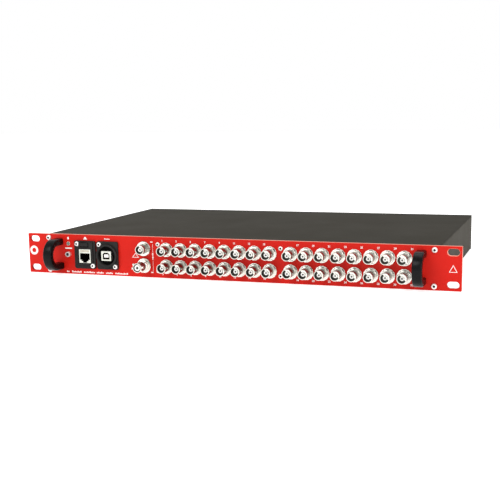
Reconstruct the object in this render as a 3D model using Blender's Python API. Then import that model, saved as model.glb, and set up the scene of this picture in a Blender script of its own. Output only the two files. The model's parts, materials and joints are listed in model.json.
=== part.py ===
"""A 1U 19-inch rack unit: red front panel, coaxial jacks, data sockets, chassis, boards and mains inlet.

Metres, +Z up, front facing -Y. Lengths below are taken from the middle of the front panel's front face:
x to the right as seen from the front, y towards the rear, z up. An empty carries that point to its place, so
that the whole unit stands on z = 0 with its box centred on the origin.
"""
import math

import bmesh
import bpy

MM = 0.001
GAP = 0.3 * MM                 # left between pieces that touch

# front panel, in the 19-inch rack system
PANEL_W = 482.6 * MM
PANEL_H = 44.45 * MM
PANEL_T = 4.0 * MM
SEAT_DEPTH = 0.3 * MM          # milled seat behind the panel that the chassis butts into
SLOT_X = 466.0 / 2 * MM
SLOT_Z = 32.4 / 2 * MM
SLOT_W = 12.0 * MM
SLOT_H = 7.0 * MM

# chassis
CHASSIS_HALF_W = 219.5 * MM
CHASSIS_REAR = 280.0 * MM
CHASSIS_BOTTOM = -21.3 * MM
CHASSIS_TOP = 21.5 * MM
SHEET = 1.5 * MM

# coaxial jacks
JACK_SIDES = 12
JACK_ROWS_Z = (8.7 * MM, -9.6 * MM)
JACKS_PER_GROUP = 8
JACK_GROUPS = ((-71.3 * MM, 16.7 * MM), (68.0 * MM, 16.77 * MM))   # where each starts, and its pitch
BUSH_R = 4.6 * MM
BUSH_REAR = 9.7 * MM
NUT_R = 7.8 * MM
NUT_T = 2.8 * MM
BARREL_R = 5.0 * MM
BARREL_BORE_R = 4.3 * MM
JACK_FRONT = 15.2 * MM
INSULATOR_R = 2.2 * MM
INSULATOR_RECESS = 2.2 * MM
JACK_WELL = 6.0 * MM
PANEL_HOLE_R = 4.95 * MM
SIDE_JACK_X = -97.7 * MM
SIDE_JACKS_Z = (9.1 * MM, -9.3 * MM)
SIDE_FLANGE_R = 8.2 * MM

# D-size socket flanges
D_W = 26.0 * MM
D_H = 31.0 * MM
D_T = 2.2 * MM
D_BODY_R = 11.7 * MM
D_HOLE_R = 12.1 * MM
D_REAR = 12.0 * MM
RJ_X = -168.8 * MM
USB_X = -141.3 * MM
D_Z = 0.25 * MM

# handles
HANDLE_X = 201.8 * MM
HANDLE_Z = 0.35 * MM
HANDLE_W = 10.0 * MM
HANDLE_BAR = 7.4 * MM
HANDLE_REACH = 28.6 * MM
HANDLE_HALF_H = 17.3 * MM
HANDLE_CORNER_R = 17.0 * MM

# small front pieces
SCREW_X = 214.75 * MM
SCREW_Z = 18.0 * MM
LED_X = -190.4 * MM
LED_Z = 11.9 * MM
RESET_X = -190.3 * MM
RESET_Z = 0.0

# boards
BOARD_T = 1.6 * MM
JACK_BOARD_Y = 10.0 * MM
JACK_BOARD_HALF_H = 18.6 * MM
MAIN_BOARD_Z = -13.0 * MM
MAIN_BOARD_FRONT = 38.0 * MM
MAIN_BOARD_REAR = 172.0 * MM

# mains inlet module, on the rear panel
INLET_X = 160.0 * MM
INLET_HALF_W = 34.0 * MM
INLET_HALF_H = 14.0 * MM
INLET_FLANGE_T = 2.5 * MM
INLET_DEPTH = 32.0 * MM
SOCKET_X = -13.5 * MM          # the module's three bays, from its middle
DRAWER_X = 6.5 * MM
ROCKER_X = 20.0 * MM
ROCKER_TILT = math.radians(-9.0)
ROCKER_PIVOT_Y = 281.2 * MM

# the whole unit's place
FRONT_REACH = HANDLE_REACH
REAR_REACH = 285.7 * MM
ORIGIN_Y = (FRONT_REACH - REAR_REACH) / 2
ORIGIN_Z = PANEL_H / 2

RED = (0.62, 0.03, 0.02)
BLACK = (0.02, 0.02, 0.022)
NICKEL = (0.78, 0.77, 0.74)
STEEL = (0.62, 0.62, 0.6)
GREY = (0.12, 0.115, 0.105)
BOARD_GREEN = (0.02, 0.12, 0.05)
WHITE = (0.8, 0.8, 0.76)


def clear_scene():
    for obj in list(bpy.data.objects):
        bpy.data.objects.remove(obj)


def material(name, colour, roughness, metallic):
    mat = bpy.data.materials.new(name)
    mat.use_nodes = True
    shader = mat.node_tree.nodes["Principled BSDF"]
    shader.inputs["Base Color"].default_value = (*colour, 1.0)
    shader.inputs["Roughness"].default_value = roughness
    shader.inputs["Metallic"].default_value = metallic
    return mat


def box(x0, x1, y0, y1, z0, z1):
    """A block between two corners, as a list of points and a list of faces."""
    points = [(x, y, z) for x in (x0, x1) for y in (y0, y1) for z in (z0, z1)]
    faces = [(0, 1, 3, 2), (4, 6, 7, 5), (0, 4, 5, 1), (2, 3, 7, 6), (0, 2, 6, 4), (1, 5, 7, 3)]
    return points, faces


def prism(outline, axis, low, high):
    """An outline of two coordinates pushed along an axis: the outline holds the other two, in order."""
    points = []
    for depth in (low, high):
        for a, b in outline:
            points.append({"x": (depth, a, b), "y": (a, depth, b), "z": (a, b, depth)}[axis])
    n = len(outline)
    faces = [tuple(range(n)), tuple(range(2 * n - 1, n - 1, -1))]
    faces += [(i, n + i, n + (i + 1) % n, (i + 1) % n) for i in range(n)]
    return points, faces


def turned(profile, sides, x=0.0, z=0.0):
    """A profile of (radius, y) turned round the y axis through (x, z), with flat or pointed ends."""
    points = []
    rings = []
    for radius, y in profile:
        if radius == 0:
            rings.append([len(points)] * sides)
            points.append((x, y, z))
            continue
        rings.append(list(range(len(points), len(points) + sides)))
        for i in range(sides):
            angle = 2 * math.pi * (i + 0.5) / sides
            points.append((x + radius * math.cos(angle), y, z + radius * math.sin(angle)))
    faces = []
    for a, b in zip(rings, rings[1:]):
        for i in range(sides):
            j = (i + 1) % sides
            corners = list(dict.fromkeys((a[i], a[j], b[j], b[i])))
            faces.append(tuple(corners))
    if profile[0][0] > 0:
        faces.append(tuple(rings[0]))
    if profile[-1][0] > 0:
        faces.append(tuple(rings[-1]))
    return points, faces


def arc(cx, cy, radius, start, end, steps):
    """Points of a round stretch, from one angle to another, in degrees."""
    angles = [math.radians(start + (end - start) * i / steps) for i in range(steps + 1)]
    return [(cx + radius * math.cos(a), cy + radius * math.sin(a)) for a in angles]


def rounded(half_w, half_h, radius, steps, cx=0.0, cy=0.0):
    """A rectangle with round corners."""
    outline = []
    for sx, sy, start in ((1, 1, 0), (-1, 1, 90), (-1, -1, 180), (1, -1, 270)):
        corner = (cx + sx * (half_w - radius), cy + sy * (half_h - radius))
        outline += arc(*corner, radius, start, start + 90, steps)
    return outline


def mesh_of(name, shapes):
    mesh = bpy.data.meshes.new(name)
    bm = bmesh.new()
    for points, faces in shapes:
        verts = [bm.verts.new(p) for p in points]
        for face in faces:
            bm.faces.new([verts[i] for i in face])
    bmesh.ops.remove_doubles(bm, verts=bm.verts, dist=1e-7)
    bmesh.ops.recalc_face_normals(bm, faces=bm.faces)
    bm.to_mesh(mesh)
    bm.free()
    return mesh


def smooth_round(mesh):
    mesh.shade_smooth()
    mesh.set_sharp_from_angle(angle=math.radians(40))


def place(name, mesh, mat, location=(0.0, 0.0, 0.0)):
    obj = bpy.data.objects.new(name, mesh)
    bpy.context.scene.collection.objects.link(obj)
    obj.location = location
    obj.parent = ORIGIN_EMPTY
    if mat and not mesh.materials:
        mesh.materials.append(mat)
    return obj


def boolean(obj, operation, index, shapes):
    """A Boolean modifier on an object, with its own hidden operand."""
    tool = place(f"{obj.name}_{operation.lower()}_{index}", mesh_of("tool", shapes), None, obj.location)
    tool.hide_render = True
    tool.display_type = "WIRE"
    step = obj.modifiers.new(tool.name, "BOOLEAN")
    step.operation = operation
    step.object = tool


def node(name, shape, mat, added=(), holes=(), inside=(), location=(0.0, 0.0, 0.0)):
    """One solid: a first shape, others added to it, holes cut, and what stands inside the holes added last.

    Each entry is a list of shapes that don't touch each other.
    """
    obj = place(name, mesh_of(name, [shape]), mat, location)
    for operation, operands in (("UNION", added), ("DIFFERENCE", holes), ("UNION", inside)):
        for shapes in operands:
            boolean(obj, operation, len(obj.modifiers), shapes)
    return obj


def jack_places():
    """The 32 numbered jacks: odd numbers in the upper row, even numbers below them."""
    places = []
    for start, pitch in JACK_GROUPS:
        for column in range(JACKS_PER_GROUP):
            places += [(start + column * pitch, z) for z in JACK_ROWS_Z]
    return places


def panel_holes():
    through = (-1 * MM, PANEL_T + 1 * MM)
    slots = []
    for sx in (-1, 1):
        for sz in (-1, 1):
            outline = rounded(SLOT_W / 2, SLOT_H / 2, SLOT_H / 2 - 0.01 * MM, 3, sx * SLOT_X, sz * SLOT_Z)
            slots.append(prism(outline, "y", *through))
    jacks = []
    side_places = [(SIDE_JACK_X, z) for z in SIDE_JACKS_Z]
    for x, z in jack_places() + side_places:
        jacks.append(turned([(PANEL_HOLE_R, y) for y in through], JACK_SIDES, x, z))
    rest = [turned([(D_HOLE_R, y) for y in through], 24, x, D_Z) for x in (RJ_X, USB_X)]
    rest.append(turned([(2.0 * MM, y) for y in through], 10, LED_X, LED_Z))
    rest.append(turned([(2.5 * MM, y) for y in through], 10, RESET_X, RESET_Z))
    for sx in (-1, 1):
        for sz in (-1, 1):
            rest.append(turned([(1.8 * MM, y) for y in through], 8, sx * SCREW_X, sz * SCREW_Z))
    return slots + jacks + rest


def front_panel(mat):
    half = PANEL_W / 2
    seat = CHASSIS_HALF_W + 0.5 * MM
    back = PANEL_T - SEAT_DEPTH
    outline = [(-half, 0), (half, 0), (half, PANEL_T), (seat, PANEL_T)]
    outline += [(seat, back), (-seat, back), (-seat, PANEL_T), (-half, PANEL_T)]
    plate = prism(outline, "z", -PANEL_H / 2, PANEL_H / 2)
    node("front_panel", plate, mat, holes=[panel_holes()])


def handle(name, x, mat):
    """A C-shaped pull: two legs on the panel and a round-cornered bar in front."""
    steps = 6
    front = -HANDLE_REACH
    foot = -GAP
    inner_r = HANDLE_CORNER_R - HANDLE_BAR
    centre_y = front + HANDLE_CORNER_R
    centre_z = HANDLE_HALF_H - HANDLE_CORNER_R
    inner_half_h = HANDLE_HALF_H - HANDLE_BAR
    outline = [(foot, -HANDLE_HALF_H)]
    outline += arc(centre_y, -centre_z, HANDLE_CORNER_R, 270, 180, steps)
    outline += arc(centre_y, centre_z, HANDLE_CORNER_R, 180, 90, steps)
    outline += [(foot, HANDLE_HALF_H), (foot, inner_half_h)]
    outline += arc(centre_y, centre_z, inner_r, 90, 180, steps)
    outline += arc(centre_y, -centre_z, inner_r, 180, 270, steps)
    outline += [(foot, -inner_half_h)]
    shape = prism(outline, "x", -HANDLE_W / 2, HANDLE_W / 2)
    smooth_round(node(name, shape, mat, location=(x, 0, HANDLE_Z)).data)


def jacks(mat):
    """Each jack: threaded bush through the panel, nut, barrel and an insulator inside the barrel."""
    profile = [
        (BUSH_R, BUSH_REAR), (BUSH_R, -GAP), (NUT_R, -GAP), (NUT_R, -GAP - NUT_T),
        (BARREL_R, -GAP - NUT_T), (BARREL_R, -JACK_FRONT), (BARREL_BORE_R, -JACK_FRONT),
        (BARREL_BORE_R, -JACK_WELL), (INSULATOR_R, -JACK_WELL), (INSULATOR_R, -JACK_FRONT + INSULATOR_RECESS),
    ]
    mesh = mesh_of("jack", [turned(profile, JACK_SIDES)])
    smooth_round(mesh)
    for number, (x, z) in enumerate(jack_places(), start=1):
        place(f"jack_{number:02d}", mesh, mat, (x, 0, z))


def side_jacks(mat):
    """The two connectors left of the numbered jacks: a short one above and a long stepped one below."""
    short = [
        (BUSH_R, BUSH_REAR), (BUSH_R, -GAP), (SIDE_FLANGE_R, -GAP), (SIDE_FLANGE_R, -2.3 * MM),
        (BARREL_R, -2.3 * MM), (BARREL_R, -11.5 * MM), (BARREL_BORE_R, -11.5 * MM),
        (BARREL_BORE_R, -4.0 * MM), (INSULATOR_R, -4.0 * MM), (INSULATOR_R, -9.5 * MM),
    ]
    long = [
        (BUSH_R, BUSH_REAR), (BUSH_R, -GAP), (SIDE_FLANGE_R, -GAP), (SIDE_FLANGE_R, -2.3 * MM),
        (6.1 * MM, -2.3 * MM), (6.1 * MM, -7.0 * MM), (BARREL_R, -7.0 * MM), (BARREL_R, -18.7 * MM),
        (BARREL_BORE_R, -18.7 * MM), (BARREL_BORE_R, -10.0 * MM), (3.0 * MM, -10.0 * MM),
        (3.0 * MM, -17.5 * MM),
    ]
    for name, profile, z in zip(("reference_jack", "trigger_jack"), (short, long), SIDE_JACKS_Z):
        obj = node(name, turned(profile, JACK_SIDES), mat, location=(SIDE_JACK_X, 0, z))
        smooth_round(obj.data)


def d_plate(thickness):
    return prism(rounded(D_W / 2, D_H / 2, 2.0 * MM, 2), "y", -GAP - thickness, -GAP)


def d_body(mouth):
    return turned([(D_BODY_R, D_REAR), (D_BODY_R, mouth)], 24)


def rj45_flange(mat):
    """Flange with a stepped passage for the socket and a hood above it, in which the latch slides."""
    hood = box(-7.5 * MM, 7.5 * MM, -4.2 * MM, -1.5 * MM, 7.7 * MM, 14.7 * MM)
    seat = box(-7.8 * MM, 7.8 * MM, -8 * MM, -0.9 * MM, -9.9 * MM, 6.9 * MM)
    passage = box(-7.1 * MM, 7.1 * MM, -8 * MM, 13 * MM, -8.8 * MM, 6.7 * MM)
    pocket = box(-5.4 * MM, 5.4 * MM, -8 * MM, -1.5 * MM, 8.5 * MM, 13.7 * MM)
    holes = [[seat], [passage], [pocket]]
    node("rj45_flange", d_plate(D_T), mat, [[d_body(-1.5 * MM)], [hood]], holes, location=(RJ_X, 0, D_Z))


def rj45_socket(mat):
    """Metal socket shell behind a wider front frame: a plug opening with a narrower latch slot below it."""
    frame = box(-7.5 * MM, 7.5 * MM, -2.8 * MM, -1.2 * MM, -9.6 * MM, 6.6 * MM)
    shell = box(-6.8 * MM, 6.8 * MM, -1.6 * MM, 18 * MM, -8.5 * MM, 6.4 * MM)
    mouth = box(-5.95 * MM, 5.95 * MM, -4 * MM, 11 * MM, -5.6 * MM, 1.9 * MM)
    slot = box(-3.1 * MM, 3.1 * MM, -4 * MM, 11 * MM, -7.9 * MM, -5.0 * MM)
    node("rj45_socket", frame, mat, [[shell]], [[mouth], [slot]], location=(RJ_X, 0, D_Z))


def rj45_latch(mat):
    tab = box(-5.0 * MM, 5.0 * MM, -4.9 * MM, -1.9 * MM, -1.8 * MM, 1.8 * MM)
    node("rj45_latch", tab, mat, location=(RJ_X, 0, D_Z + 11.5 * MM))


def usb_flange(mat):
    """Flange with a round collar and recess, and a square passage for the socket in the recess's floor."""
    collar = turned([(12.6 * MM, -1.5 * MM), (12.6 * MM, -5.2 * MM)], 24)
    recess = turned([(10.4 * MM, -1.2 * MM), (10.4 * MM, -6.0 * MM)], 24)
    passage = box(-6.4 * MM, 6.4 * MM, -3 * MM, 13 * MM, -6.0 * MM, 5.8 * MM)
    added = [[d_body(-1.5 * MM)], [collar]]
    node("usb_flange", d_plate(D_T), mat, added, [[recess], [passage]], location=(USB_X, 0, D_Z))


def usb_socket(mat):
    """Metal shell with the socket's mouth and a tongue inside it."""
    shell = box(-6.1 * MM, 6.1 * MM, -5.4 * MM, 18 * MM, -5.7 * MM, 5.5 * MM)
    mouth = box(-4.25 * MM, 4.25 * MM, -7 * MM, 6 * MM, -3.85 * MM, 3.65 * MM)
    tongue = box(-2.7 * MM, 2.7 * MM, -4.5 * MM, 7 * MM, -1.95 * MM, 1.75 * MM)
    node("usb_socket", shell, mat, holes=[[mouth]], inside=[[tongue]], location=(USB_X, 0, D_Z))


def status_led(mat):
    """Light pipe with a domed front."""
    dome = [(1.6 * MM * math.cos(a), -0.8 * MM - 1.0 * MM * math.sin(a)) for a in (0, 0.5, 1.0)]
    profile = [(1.6 * MM, 11.0 * MM)] + dome + [(0, -1.8 * MM)]
    smooth_round(node("status_led", turned(profile, 10), mat, location=(LED_X, 0, LED_Z)).data)


def reset_button(mat):
    profile = [(1.5 * MM, 11.0 * MM), (1.5 * MM, -3.2 * MM), (1.2 * MM, -3.6 * MM)]
    smooth_round(node("reset_button", turned(profile, 12), mat, location=(RESET_X, 0, RESET_Z)).data)


def panel_screws(mat):
    """Button-head screws at the panel's corners, with their shanks through the chassis flanges."""
    profile = [
        (1.4 * MM, 9 * MM), (1.4 * MM, -GAP), (3.0 * MM, -GAP), (3.0 * MM, -1.0 * MM), (2.2 * MM, -2.0 * MM),
    ]
    mesh = mesh_of("panel_screw", [turned(profile, 8)])
    smooth_round(mesh)
    corners = (("upper_left", -1, 1), ("upper_right", 1, 1), ("lower_left", -1, -1), ("lower_right", 1, -1))
    for corner, sx, sz in corners:
        place(f"panel_screw_{corner}", mesh, mat, (sx * SCREW_X, 0, sz * SCREW_Z))


def chassis_tray(mat):
    """Folded tray: floor, two sides, front flanges that the panel screws reach, and board posts."""
    half = CHASSIS_HALF_W
    top = CHASSIS_TOP - SHEET
    floor = CHASSIS_BOTTOM + SHEET
    inner = half - SHEET
    outline = [(-half, CHASSIS_BOTTOM), (half, CHASSIS_BOTTOM), (half, top), (inner, top)]
    outline += [(inner, floor), (-inner, floor), (-inner, top), (-half, top)]
    front = PANEL_T - SEAT_DEPTH + GAP
    tray = prism(outline, "y", front, CHASSIS_REAR - SHEET - GAP)
    flanges = []
    holes = []
    for side in (-1, 1):
        xs = sorted((side * 210 * MM, side * (half - 0.5 * MM)))
        flanges.append(box(*xs, front, front + SHEET, floor - 0.5 * MM, top))
        for sz in (-1, 1):
            shaft = [(1.8 * MM, front - 1 * MM), (1.8 * MM, front + 3 * MM)]
            holes.append(turned(shaft, 8, side * SCREW_X, sz * SCREW_Z))
    posts = []
    for x, y in ((-150, 60), (60, 60), (-150, 160), (60, 160)):
        xs = ((x - 3) * MM, (x + 3) * MM)
        ys = ((y - 3) * MM, (y + 3) * MM)
        posts.append(box(*xs, *ys, floor - 0.5 * MM, MAIN_BOARD_Z - GAP))
    node("chassis_tray", tray, mat, [flanges, posts], [holes])


def top_cover(mat):
    front = PANEL_T - SEAT_DEPTH + GAP
    low = CHASSIS_TOP - SHEET + GAP
    lid = box(-CHASSIS_HALF_W, CHASSIS_HALF_W, front, CHASSIS_REAR, low, CHASSIS_TOP)
    node("top_cover", lid, mat)


def rear_panel(mat):
    """Rear plate with the inlet module's cut-out and two groups of air slots."""
    y0 = CHASSIS_REAR - SHEET
    plate = box(-CHASSIS_HALF_W, CHASSIS_HALF_W, y0, CHASSIS_REAR, CHASSIS_BOTTOM, CHASSIS_TOP - SHEET)
    through = (y0 - 1 * MM, CHASSIS_REAR + 1 * MM)
    half_w = INLET_HALF_W - 5 * MM
    half_h = INLET_HALF_H - 1.5 * MM
    window = box(INLET_X - half_w, INLET_X + half_w, *through, -half_h, half_h)
    slots = []
    for start in (-190 * MM, -30 * MM):
        for index in range(8):
            x = start + index * 8 * MM
            slots.append(box(x, x + 3 * MM, *through, -12 * MM, 12 * MM))
    node("rear_panel", plate, mat, holes=[[window] + slots])


def mains_inlet(mat):
    """Module with a three-pin inlet, a bay for the fuse drawer and a bay for the power rocker."""
    face = CHASSIS_REAR + GAP + INLET_FLANGE_T
    half_w = INLET_HALF_W - 5.4 * MM
    half_h = INLET_HALF_H - 1.9 * MM
    flange = box(-INLET_HALF_W, INLET_HALF_W, CHASSIS_REAR + GAP, face, -INLET_HALF_H, INLET_HALF_H)
    body = box(-half_w, half_w, face - INLET_DEPTH, face - 1 * MM, -half_h, half_h)
    out = face + 1 * MM
    socket = box(SOCKET_X - 12.25 * MM, SOCKET_X + 12.25 * MM, face - 16 * MM, out, -8.2 * MM, 8.2 * MM)
    drawer = box(DRAWER_X - 4.6 * MM, DRAWER_X + 4.6 * MM, face - 24 * MM, out, -9.6 * MM, 9.6 * MM)
    rocker = box(ROCKER_X - 6.4 * MM, ROCKER_X + 6.4 * MM, face - 12 * MM, out, -9.7 * MM, 9.7 * MM)
    pins = []
    for x, z in ((-7, -2), (0, 2), (7, -2)):
        centre = SOCKET_X + x * MM
        low = (z - 2) * MM
        pins.append(box(centre - 1 * MM, centre + 1 * MM, face - 17 * MM, face - 3 * MM, low, low + 4 * MM))
    node("mains_inlet", flange, mat, [[body]], [[socket, drawer, rocker]], [pins], (INLET_X, 0, 0))


def fuse_drawer(mat):
    face = CHASSIS_REAR + GAP + INLET_FLANGE_T
    drawer = box(-4.2 * MM, 4.2 * MM, -22 * MM, 1.2 * MM, -9.2 * MM, 9.2 * MM)
    lip = box(-3.0 * MM, 3.0 * MM, 0.2 * MM, 2 * MM, -9.9 * MM, -7.4 * MM)
    node("fuse_drawer", drawer, mat, holes=[[lip]], location=(INLET_X + DRAWER_X, face, 0))


def power_rocker(mat):
    """Rocker with a shallow V-shaped face, turned about a crosswise axis."""
    outline = [(3.2, -8.6), (1.7, 0), (3.2, 8.6), (-2.5, 8.6), (-6.5, 4.5), (-6.5, -4.5), (-2.5, -8.6)]
    shape = prism([(y * MM, z * MM) for y, z in outline], "x", -6.0 * MM, 6.0 * MM)
    obj = node("power_rocker", shape, mat, location=(INLET_X + ROCKER_X, ROCKER_PIVOT_Y, 0))
    obj.rotation_euler.x = ROCKER_TILT


def main_board(mat):
    """Board on the tray's posts, with a tongue to the front for the reset switch and the light's holder."""
    z0 = MAIN_BOARD_Z
    z1 = z0 + BOARD_T
    board = box(-207 * MM, 100 * MM, MAIN_BOARD_FRONT, MAIN_BOARD_REAR, z0, z1)
    tongue = box(-205 * MM, -183 * MM, 7 * MM, MAIN_BOARD_FRONT + 1 * MM, z0, z1)
    holder = box(-196 * MM, -185 * MM, 11.6 * MM, 19 * MM, z1 - 0.5 * MM, 15 * MM)
    low = z1 - 0.5 * MM
    chips = []
    for x, y, half, height in ((-60, 110, 17, 2.5), (-20, 110, 14, 2), (20, 110, 14, 2), (-120, 120, 12, 2)):
        xs = ((x - half) * MM, (x + half) * MM)
        ys = ((y - half) * MM, (y + half) * MM)
        chips.append(box(*xs, *ys, low, low + height * MM))
    chips.append(box(70 * MM, 96 * MM, 150 * MM, 158 * MM, low, low + 10 * MM))
    node("main_board", board, mat, [[tongue], [holder] + chips])


def jack_board(name, x0, x1, mat):
    """Upright board behind one group of jacks, with a ribbon header on its rear face."""
    y1 = JACK_BOARD_Y + BOARD_T
    board = box(x0, x1, JACK_BOARD_Y, y1, -JACK_BOARD_HALF_H, JACK_BOARD_HALF_H)
    middle = (x0 + x1) / 2
    header = box(middle - 19 * MM, middle + 19 * MM, y1 - 0.5 * MM, y1 + 5 * MM, -4 * MM, 4 * MM)
    node(name, board, mat, [[header]])


def ribbon(name, x, mat):
    """Flat cable with a plug at each end: out of the jack board's header, over and down to the main board."""
    start = JACK_BOARD_Y + BOARD_T + 5 * MM + GAP
    plug_end = start + 6 * MM
    foot = MAIN_BOARD_Z + BOARD_T + GAP
    thick = 0.9 * MM
    bend = 9 * MM
    far = 58 * MM
    outline = [(start, -3.5 * MM), (plug_end, -3.5 * MM), (plug_end, 0)]
    outline += arc(far - bend, -bend, bend, 90, 0, 5)
    outline += [(far, foot + 5 * MM), (far - 3 * MM, foot + 5 * MM), (far - 3 * MM, foot)]
    outline += [(far + 4 * MM, foot), (far + 4 * MM, foot + 5 * MM), (far + thick, foot + 5 * MM)]
    outline += arc(far - bend, -bend, bend + thick, 0, 90, 5)
    outline += [(plug_end, thick), (plug_end, 3.5 * MM), (start, 3.5 * MM)]
    shape = prism(outline, "x", -17 * MM, 17 * MM)
    smooth_round(node(name, shape, mat, location=(x, 0, 0)).data)


def power_supply(mat):
    """Supply board with a transformer, a capacitor block and a heat sink, on the tray's floor."""
    z0 = CHASSIS_BOTTOM + SHEET + GAP
    low = z0 + 3.5 * MM
    base = box(112 * MM, 208 * MM, 100 * MM, 232 * MM, z0, z0 + 4 * MM)
    blocks = [
        box(150 * MM, 185 * MM, 140 * MM, 178 * MM, low, 8 * MM),
        box(120 * MM, 142 * MM, 190 * MM, 222 * MM, low, 6 * MM),
        box(196 * MM, 202 * MM, 110 * MM, 222 * MM, low, 10 * MM),
    ]
    node("power_supply", base, mat, [blocks])


clear_scene()
ORIGIN_EMPTY = bpy.data.objects.new("unit_origin", None)
bpy.context.scene.collection.objects.link(ORIGIN_EMPTY)
ORIGIN_EMPTY.location = (0, ORIGIN_Y, ORIGIN_Z)

RED_PAINT = material("red_paint", RED, 0.4, 0.0)
BLACK_SATIN = material("black_satin", BLACK, 0.35, 0.0)
BLACK_PLASTIC = material("black_plastic", BLACK, 0.5, 0.0)
NICKEL_PLATE = material("nickel_plate", NICKEL, 0.25, 1.0)
STAINLESS = material("stainless", STEEL, 0.3, 1.0)
CHASSIS_GREY = material("chassis_grey", GREY, 0.55, 0.2)
BOARD = material("board_green", BOARD_GREEN, 0.45, 0.0)
LIGHT_LENS = material("light_lens", (0.35, 0.6, 0.4), 0.2, 0.0)
CABLE_GREY = material("cable_grey", WHITE, 0.6, 0.0)

front_panel(RED_PAINT)
handle("handle_left", -HANDLE_X, BLACK_SATIN)
handle("handle_right", HANDLE_X, BLACK_SATIN)
jacks(NICKEL_PLATE)
side_jacks(NICKEL_PLATE)
rj45_flange(BLACK_PLASTIC)
rj45_socket(NICKEL_PLATE)
rj45_latch(BLACK_PLASTIC)
usb_flange(BLACK_PLASTIC)
usb_socket(NICKEL_PLATE)
status_led(LIGHT_LENS)
reset_button(BLACK_PLASTIC)
panel_screws(STAINLESS)
chassis_tray(CHASSIS_GREY)
top_cover(CHASSIS_GREY)
rear_panel(CHASSIS_GREY)
mains_inlet(BLACK_PLASTIC)
fuse_drawer(BLACK_PLASTIC)
power_rocker(BLACK_PLASTIC)
main_board(BOARD)
jack_board("jack_board_left", -84.5 * MM, 54.0 * MM, BOARD)
jack_board("jack_board_right", 55.0 * MM, 193.5 * MM, BOARD)
ribbon("ribbon_left", -15.25 * MM, CABLE_GREY)
ribbon("ribbon_right", 124.25 * MM, CABLE_GREY)
power_supply(BOARD)
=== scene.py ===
"""The looks of the rack unit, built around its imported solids.

Pieces are modelled in metres from the middle of the front panel's front face: x to the right as seen from the
front, y towards the rear and z up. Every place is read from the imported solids, or measured from them.
"""
import json
import math

import bmesh
import bpy
from mathutils import Matrix, Vector
from mathutils.geometry import tessellate_polygon


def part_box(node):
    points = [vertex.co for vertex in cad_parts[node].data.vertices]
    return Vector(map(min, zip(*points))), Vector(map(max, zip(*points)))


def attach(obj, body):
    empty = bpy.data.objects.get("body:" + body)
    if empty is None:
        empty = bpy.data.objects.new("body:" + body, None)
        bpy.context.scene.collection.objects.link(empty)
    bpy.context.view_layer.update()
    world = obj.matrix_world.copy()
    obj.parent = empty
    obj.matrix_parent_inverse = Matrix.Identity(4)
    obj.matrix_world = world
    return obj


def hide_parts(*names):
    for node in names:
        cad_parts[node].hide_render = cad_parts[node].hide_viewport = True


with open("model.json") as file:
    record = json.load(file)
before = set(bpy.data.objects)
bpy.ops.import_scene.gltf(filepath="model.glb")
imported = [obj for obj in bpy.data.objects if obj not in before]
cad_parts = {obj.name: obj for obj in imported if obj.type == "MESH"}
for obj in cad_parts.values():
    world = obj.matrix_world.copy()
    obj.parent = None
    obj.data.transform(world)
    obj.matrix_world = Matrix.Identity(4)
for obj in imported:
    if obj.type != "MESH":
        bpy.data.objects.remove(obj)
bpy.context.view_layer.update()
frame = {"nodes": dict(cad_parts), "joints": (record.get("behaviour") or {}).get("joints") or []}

MM = 0.001
PANEL_LOW, PANEL_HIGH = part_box("front_panel")
FRONT = Vector((0.0, PANEL_LOW.y, (PANEL_LOW.z + PANEL_HIGH.z) / 2))
PANEL_T = PANEL_HIGH.y - PANEL_LOW.y
JACKS = [f"jack_{number:02d}" for number in range(1, 33)]
ROUND = 40                     # sides of a round piece
GAP = 0.3 * MM                 # between one piece and the next
SLOT_X = 233.0 * MM            # rack slots, from the middle of the panel
SLOT_Z = 16.2 * MM
HANDLE_BAR = 7.4 * MM          # how thick a handle's bar is, and the outer radius of its bends
HANDLE_BEND = 17.0 * MM
BARREL_R = 5.2 * MM            # coaxial jacks
BARREL_BORE_R = 4.3 * MM
NUT_FLATS = 12.6 * MM
FLANGE_FACE = -2.5 * MM        # the two data sockets' flanges, their outline and their screws
FLANGE_OUTLINE = (13.0 * MM, 15.5 * MM, 2.2 * MM)
FLANGE_SCREWS = ((-9.5 * MM, 12.0 * MM), (9.5 * MM, -12.0 * MM))
INLET_SCREW_X = 31.0 * MM      # screws of the inlet module, from its middle

# the camera, from the middle of the panel's front face
CAMERA_PLACE = (0.3465, -0.9151, 0.15565)
CAMERA_YAW = 19.43
CAMERA_PITCH = -9.96
CAMERA_ROLL = 0.97
CAMERA_LENS = 67.86
CAMERA_SHIFT_Y = 0.05


def centre_of(node):
    """The middle of a solid's box, from the middle of the panel's front face."""
    low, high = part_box(node)
    return (low + high) / 2 - FRONT


def face_point(node):
    """Where the middle of a solid falls on the panel's front face."""
    middle = centre_of(node)
    return (middle.x, 0, middle.z)


def box_of(node):
    low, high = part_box(node)
    return low - FRONT, high - FRONT


# ---------------------------------------------------------------- materials

def blank_material(name, metallic, coat=0.0, specular=0.5):
    mat = bpy.data.materials.new(name)
    mat.use_nodes = True
    shader = mat.node_tree.nodes["Principled BSDF"]
    shader.inputs["Metallic"].default_value = metallic
    shader.inputs["Coat Weight"].default_value = coat
    shader.inputs["Coat Roughness"].default_value = 0.15
    shader.inputs["Specular IOR Level"].default_value = specular
    shader.inputs["IOR"].default_value = 1.5
    return mat, mat.node_tree.nodes, mat.node_tree.links, shader


def noise(nodes, links, coords, scale, detail=3.0, stretch=(1.0, 1.0, 1.0)):
    mapping = nodes.new("ShaderNodeMapping")
    mapping.inputs["Scale"].default_value = stretch
    links.new(coords.outputs["Object"], mapping.inputs["Vector"])
    texture = nodes.new("ShaderNodeTexNoise")
    texture.inputs["Scale"].default_value = scale
    texture.inputs["Detail"].default_value = detail
    links.new(mapping.outputs["Vector"], texture.inputs["Vector"])
    return texture.outputs["Fac"]


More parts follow.
